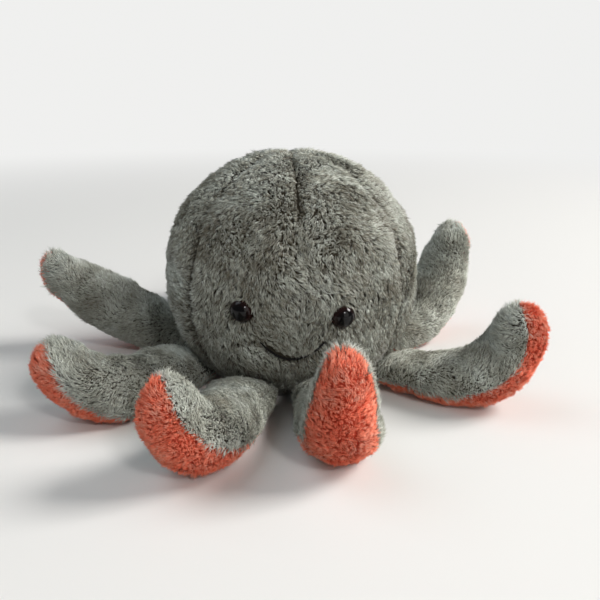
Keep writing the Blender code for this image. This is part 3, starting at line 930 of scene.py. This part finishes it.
tentacles = {
    "front": {
        "azimuth": -17,
        "lengthShare": 0.88,
        "pitch": ((0.0, 6), (0.35, 2), (0.6, 34), (0.82, 88), (1.0, 108)),
        "sway": ((0.0, 3), (0.4, 13), (1.0, 11)),
        "roll": ((0.0, 0), (0.5, 14), (1.0, 3)),
    },
    "front_left": {
        "azimuth": 22,
        "lengthShare": 0.91,
        "pitch": ((0.0, 1), (0.3, 1), (0.5, 6), (0.68, 30), (0.86, 68), (1.0, 88)),
        "sway": ((0.0, -2), (0.4, -9), (0.7, 10), (1.0, 42)),
        "roll": ((0.0, 0), (0.4, -6), (0.7, -16), (1.0, -6)),
    },
    "left": {
        "azimuth": 68,
        "lengthShare": 0.88,
        "pitch": ((0.0, 3), (0.4, 0), (0.65, 20), (0.85, 46), (1.0, 62)),
        "sway": ((0.0, -10), (0.3, -32), (0.55, -24), (0.75, 8), (1.0, 34)),
        "roll": ((0.0, 0), (0.4, 16), (0.6, 10), (0.8, -14), (1.0, -38)),
    },
    "rear_left": {
        "azimuth": 113,
        "lengthShare": 1.03,
        "pitch": ((0.0, 10), (0.2, 24), (0.6, 31), (0.85, 40), (1.0, 70)),
        "sway": ((0.0, -8), (0.5, -24), (1.0, -30)),
        "roll": ((0.0, 0), (0.3, 24), (0.6, 42), (0.85, 40), (1.0, 24)),
    },
    "rear": {
        "azimuth": 160,
        "lengthShare": 0.94,
        "pitch": ((0.0, 6), (0.3, 10), (0.6, 44), (1.0, 78)),
        "sway": ((0.0, 0), (1.0, -10)),
        "roll": still,
    },
    "rear_right": {
        "azimuth": -156,
        "lengthShare": 0.94,
        "pitch": ((0.0, 6), (0.3, 8), (0.6, 36), (1.0, 72)),
        "sway": ((0.0, 0), (1.0, 14)),
        "roll": still,
    },
    "right": {
        "azimuth": -111,
        "lengthShare": 0.93,
        "pitch": ((0.0, 6), (0.25, 13), (0.5, 46), (0.75, 68), (1.0, 74)),
        "sway": ((0.0, -6), (0.35, -18), (0.7, -16), (1.0, -12)),
        "roll": ((0.0, 0), (0.4, -8), (0.7, -26), (1.0, -34)),
    },
    "front_right": {
        "azimuth": -64,
        "lengthShare": 0.9,
        "pitch": ((0.0, 6), (0.3, 2), (0.55, 24), (0.8, 66), (1.0, 102)),
        "sway": ((0.0, 0), (0.4, 6), (0.7, -14), (1.0, -34)),
        "roll": ((0.0, 0), (0.25, 12), (0.6, 8), (1.0, 8)),
    },
}
topPile = {
    **headPile,
    "density": 4.7,
    "length": 4.3 * mm,
    "lean": radians(52),
    "tuftsInClump": 6,
    "gather": 0.07,
    "wander": radians(18),
    "clumpWander": radians(12),
    "clumpLean": radians(4),
    "leanSpread": radians(7),
    "clumpShade": 0.05,
    "shadeSpread": 0.1,
}
underPile = {
    **topPile,
    "density": 5.0,
    "length": 3.5 * mm,
    "lean": radians(40),
    "curl": radians(24),
    "radius": 0.16 * mm,
    "tuftsInClump": 9,
    "gather": 0.34,
    "clumpWander": radians(26),
    "clumpLean": radians(10),
    "leanSpread": radians(9),
    "clumpShade": 0.13,
    "shadeSpread": 0.13,
}


class Tentacle:
    def __init__(self, place, settings):
        joint = next(j for j in frame["joints"] if j["child"] == f"tentacle_{place}")
        self.root = np.array(joint["pos_m"], float)
        self.azimuth = radians(settings["azimuth"])
        shares = np.linspace(0, 1, limb["steps"] + 1)
        bends = [np.radians(smoothValue(settings[bend], shares)) for bend in ("pitch", "sway", "roll")]
        pitch, sway, roll = bends
        side = sideways(self.azimuth + sway)
        level = outward(self.azimuth + sway)
        along = level * np.cos(pitch)[:, None] + np.array([0, 0, 1]) * np.sin(pitch)[:, None]
        up = np.cross(side, along)
        stride = limb["length"] * settings["lengthShare"] / limb["steps"]
        moved = np.cumsum(along[1:] * stride, axis=0)
        self.line = self.root + np.concatenate([np.zeros((1, 3)), moved])
        c, s = np.cos(roll)[:, None], np.sin(roll)[:, None]
        self.side, self.up, self.along = side * c + up * s, up * c - side * s, along
        self.settle()

    def settle(self):
        first, last = (round(share * limb["steps"]) for share in limb["belly"])
        shares = np.arange(first, last + 1) / limb["steps"]
        turns = np.arange(12) * 2 * pi / 12
        share, turn = np.meshgrid(shares, turns, indexing="ij")
        t = np.minimum(1, np.arange(limb["steps"] + 1) / limb["steps"] / limb["settled"])
        for _ in range(4):
            lowest = self.point(share, turn)[..., 2].min()
            self.line[:, 2] -= (lowest + limb["bellyCut"]) * t * t * (3 - 2 * t)

    def read(self, values, share):
        at = np.clip(share, 0, 1) * limb["steps"]
        i = np.minimum(at.astype(int), limb["steps"] - 1)
        t = (at - i)[..., None]
        return values[i] * (1 - t) + values[i + 1] * t

    def sizes(self, share):
        taper = smoothValue(limb["widthTaper"], share)
        grow = limb["width"] - limb["rootWidth"]
        width = (limb["rootWidth"] + grow * smoothValue(limb["widthSwell"], share)) * taper
        grow = limb["height"] - limb["rootEdge"]
        height = limb["rootEdge"] + grow * smoothValue(limb["heightSwell"], share)
        start = 1 - limb["tip"] / limb["length"]
        cap = np.sqrt(np.maximum(0, 1 - (np.maximum(share - start, 0) / (1 - start)) ** 2))
        return width / 2 * cap, height / 2 * cap

    def point(self, share, turn, inset=0.0):
        halfWidth, halfHeight = (np.maximum(half - inset, 0) for half in self.sizes(share))
        across = self.read(self.side, share) * (halfWidth * np.sin(turn))[..., None]
        upward = self.read(self.up, share) * (halfHeight * np.cos(turn))[..., None]
        return self.read(self.line, share) + across + upward

    def pressed(self, share, turn, inset=0.0, floor=0.6 * mm):
        found = self.point(share, turn, inset)
        found[..., 2] = np.maximum(found[..., 2], floor + inset)
        return found

    def patch(self, top):
        columns = limb["topColumns"] if top else limb["underColumns"]
        v, u = np.meshgrid(np.linspace(0, 1, limb["rows"]), np.linspace(0, 1, columns), indexing="ij")
        share = 0.999 * (1 - (1 - v) ** 1.4)
        seam = smoothValue(limb["seam"], share) * pi
        turn = (2 * u - 1) * seam if top else seam + u * 2 * (pi - seam)
        points = self.pressed(share, turn)
        centre = self.read(self.line, share)
        along = self.read(self.along, share)
        away = points - centre + along * (ease(0.9, 1.0, share) * 8 * mm)[..., None]
        lateral = self.read(self.side, share) * np.sin(turn)[..., None]
        widths = np.linalg.norm(np.diff(points, axis=1), axis=-1).sum(1)[:, None]
        return {
            "points": points,
            "normals": gridNormals(points, unit(away)),
            "share": share,
            "fromSeam": np.minimum(u, 1 - u) * widths,
            "along": along,
            "lateral": lateral,
        }


def limbHabit(place, top):
    pile = topPile if top else underPile
    seed = list(tentacles).index(place) * 10

    def habit(read, roots, normals, random):
        share, seam, along, lateral = (read(key) for key in ("share", "fromSeam", "along", "lateral"))
        swirl = layered(roots, ((0.6, 60 * mm, 1), (0.45, 20 * mm, 2)), seed)
        comb = turnAbout(unit(along + 0.2 * lateral), normals, swirl)
        length = pile["length"] * (1 + 0.12 * waves(roots, 11 * mm, seed + 3))
        lean = pile["lean"] + radians(9) * waves(roots, 18 * mm, seed + 4)
        shade = 0.45 + layered(roots, ((0.1, 22 * mm, 5), (0.06, 8 * mm, 6)), seed)
        tip = ease(0.6, 0.97, share)
        fringe = np.exp(-seam / (4.5 * mm)) * (0.35 + 0.65 * tip)
        end = ease(0.8, 0.98, share) * bell(seam, 6 * mm)
        length = length * (0.55 + 0.45 * ease(0.0, 0.16, share))
        ruffled = bell(seam, 3 * mm)[:, None] * random.normal(0, 0.45, roots.shape)
        if top:
            length = length * (1 + 0.22 * fringe + 0.25 * end)
            shade = shade + 0.14 * fringe + 0.08 * tip
            lean = lean - radians(6) * fringe - radians(20) * end
            comb = comb + ruffled + (0.75 * tip - 0.3)[:, None] * lateral * bell(seam, 4 * mm)[:, None]
        else:
            length = length * (1 + 0.4 * end)
            lean = lean - radians(14) * end
            comb = comb + ruffled + 0.5 * lateral * bell(seam, 3 * mm)[:, None]
        resting = ease(3 * mm, 1 * mm, roots[:, 2]) * ease(0.3, 0.8, -normals[:, 2])
        lean = lean + (radians(80) - lean) * resting
        keep = random.random(len(roots)) > 0.5 * resting
        return {"comb": comb, "length": length, "lean": lean, "shade": shade, "keep": keep}

    return habit


fibre = {
    "inset": 2.8 * mm,
    "sunk": 0.35 * mm,
    "lumps": 0.3 * mm,
    "lumpSize": 7 * mm,
    "headGrid": (60, 96),
    "limbGrid": (40, 32),
    "limbShares": (0.08, 0.975),
    "crownPower": 8,
    "overBase": 0.6 * mm,
}


def stuff(name, points, rows, columns, nodes, body):
    # loose fibre: a closed form whose surface is lumpy
    form = points.reshape(rows, columns, 3)
    middle = form.mean(1, keepdims=True)
    lumps = waves(form.reshape(-1, 3), fibre["lumpSize"], 41).reshape(rows, columns, 1)
    form = form - unit(form - middle) * (fibre["sunk"] + fibre["lumps"] * lumps)
    piece = makePiece(name, form.reshape(-1, 3), tubeFaces(rows, columns), "filling")
    faceOutward(piece)
    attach(piece, body)
    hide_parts(*nodes)


def fillHead():
    rows, columns = fibre["headGrid"]
    turns = np.linspace(poleShare, turnAt(1 * mm) - poleShare, rows)
    azimuths = np.arange(columns) * 2 * pi / columns
    turn, azimuth = np.meshgrid(turns, azimuths, indexing="ij")
    points = headPoint(azimuth, turn)
    points = points - unit(points - headCentre) * fibre["inset"]
    points[..., 2] -= 2 * head["crownDip"] * np.maximum(0, np.cos(turn)) ** fibre["crownPower"]
    radius, height = baseProfile()
    level = height + base["thickness"] + fibre["overBase"]
    lowest = np.interp(np.hypot(points[..., 0], points[..., 1]), radius, level)
    points[..., 2] = np.maximum(points[..., 2], lowest)
    stuff("head_fibre", points, rows, columns, ["head_filling"], "head")


def fillTentacle(place, shape):
    rows, columns = fibre["limbGrid"]
    turns = np.arange(columns) * 2 * pi / columns
    share, turn = np.meshgrid(np.linspace(*fibre["limbShares"], rows), turns, indexing="ij")
    points = shape.pressed(share, turn, fibre["inset"])
    body = f"tentacle_{place}"
    stuff(f"{body}_fibre", points, rows, columns, [f"{body}_filling"], body)


fillHead()
for i, (place, settings) in enumerate(tentacles.items()):
    shape = Tentacle(place, settings)
    body = f"tentacle_{place}"
    away = outward(np.array(shape.azimuth))
    start, end = shape.root, shape.root + away * limb["bending"]
    for top, colour, node in ((True, "grey", "top"), (False, "coral", "underside")):
        patch = shape.patch(top)
        backing = sewPanel(f"{body}_{node}_backing", patch, limb["cloth"], f"{colour}Backing")
        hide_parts(f"{body}_{node}")
        pile = growPile(
            f"{body}_{node}_pile",
            patch,
            topPile if top else underPile,
            limbHabit(place, top),
            f"{colour}Pile",
            200 + 10 * i + top,
        )
        for piece in (backing, pile):
            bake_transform(piece)
            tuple(start)
            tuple(end)
    fillTentacle(place, shape)
print("tentacles", len(tentacles))


# Stage, light and camera

stage = {
    "floorColour": (0.8, 0.79, 0.77, 1),
    "backdrop": (0.87, 0.87, 0.86, 1),
    "floorSize": 6.0,
    "fade": (0.35, 1.3),
}
lamps = {
    "key": {"place": (2.0, 0.15, 1.7), "size": 1.0, "watts": 68, "colour": (1, 0.98, 0.95)},
    "fill": {"place": (1.5, -1.9, 1.0), "size": 2.0, "watts": 14, "colour": (1, 0.97, 0.93)},
    "rear": {"place": (-1.2, 0.3, 2.0), "size": 1.6, "watts": 13, "colour": (0.8, 0.92, 1)},
    "catch": {"place": (0.55, -1.05, 0.95), "size": 0.17, "watts": 4, "colour": (1, 1, 1)},
}
lampTarget = Vector((0, 0, 0.04))
worldStrength = 0.15
camera = {
    "place": (0.0044, -0.3405, 0.1526),
    "pitch": radians(90 - 18.64),
    "lens": 39,
}


def makeStage():
    mesh = bpy.data.meshes.new("floor")
    half = stage["floorSize"] / 2
    corners = [(-half, -half, 0), (half, -half, 0), (half, half, 0), (-half, half, 0)]
    mesh.from_pydata(corners, [], [(0, 1, 2, 3)])
    floor = bpy.data.objects.new("floor", mesh)
    bpy.context.scene.collection.objects.link(floor)
    finish = Finish("floorPaper", {"Base Color": stage["floorColour"], "Roughness": 0.8})
    apart = finish.node("ShaderNodeVectorMath", {"operation": "LENGTH"}, {0: finish.place()}, "Value")
    seen = finish.node("ShaderNodeEmission", {}, {"Color": stage["backdrop"]})
    paper = Wire(finish, finish.shader.outputs[0])
    faded = apart.between(*stage["fade"])
    mixed = finish.node("ShaderNodeMixShader", {}, {0: faded, 1: paper, 2: seen})
    finish.feed(finish.nodes["Material Output"].inputs["Surface"], mixed)
    mesh.materials.append(finish.material)


def makeWorld():
    world = bpy.data.worlds.new("studio")
    bpy.context.scene.world = world
    world.use_nodes = True
    nodes, links = world.node_tree.nodes, world.node_tree.links
    light = nodes["Background"]
    light.inputs["Color"].default_value = (1, 1, 1, 1)
    light.inputs["Strength"].default_value = worldStrength
    seen = nodes.new("ShaderNodeBackground")
    seen.inputs["Color"].default_value = stage["backdrop"]
    path = nodes.new("ShaderNodeLightPath")
    mixed = nodes.new("ShaderNodeMixShader")
    either = nodes.new("ShaderNodeMath")
    either.operation = "MAXIMUM"
    links.new(path.outputs["Is Camera Ray"], either.inputs[0])
    links.new(path.outputs["Is Transmission Ray"], either.inputs[1])
    links.new(either.outputs[0], mixed.inputs[0])
    links.new(light.outputs[0], mixed.inputs[1])
    links.new(seen.outputs[0], mixed.inputs[2])
    links.new(mixed.outputs[0], nodes["World Output"].inputs["Surface"])


def makeLamp(name, settings):
    data = bpy.data.lights.new(name, "AREA")
    data.size = settings["size"]
    data.energy = settings["watts"]
    data.color = settings["colour"]
    lamp = bpy.data.objects.new(name, data)
    bpy.context.scene.collection.objects.link(lamp)
    lamp.location = settings["place"]
    lamp.rotation_mode = "QUATERNION"
    lamp.rotation_quaternion = (Vector(settings["place"]) - lampTarget).to_track_quat("Z", "Y")


def makeCamera():
    data = bpy.data.cameras.new("camera")
    data.lens = camera["lens"]
    made = bpy.data.objects.new("camera", data)
    bpy.context.scene.collection.objects.link(made)
    made.location = camera["place"]
    made.rotation_euler = (camera["pitch"], 0, 0)
    bpy.context.scene.camera = made


makeStage()
makeWorld()
for name, settings in lamps.items():
    makeLamp(name, settings)
makeCamera()
bpy.context.scene.view_settings.view_transform = "Standard"
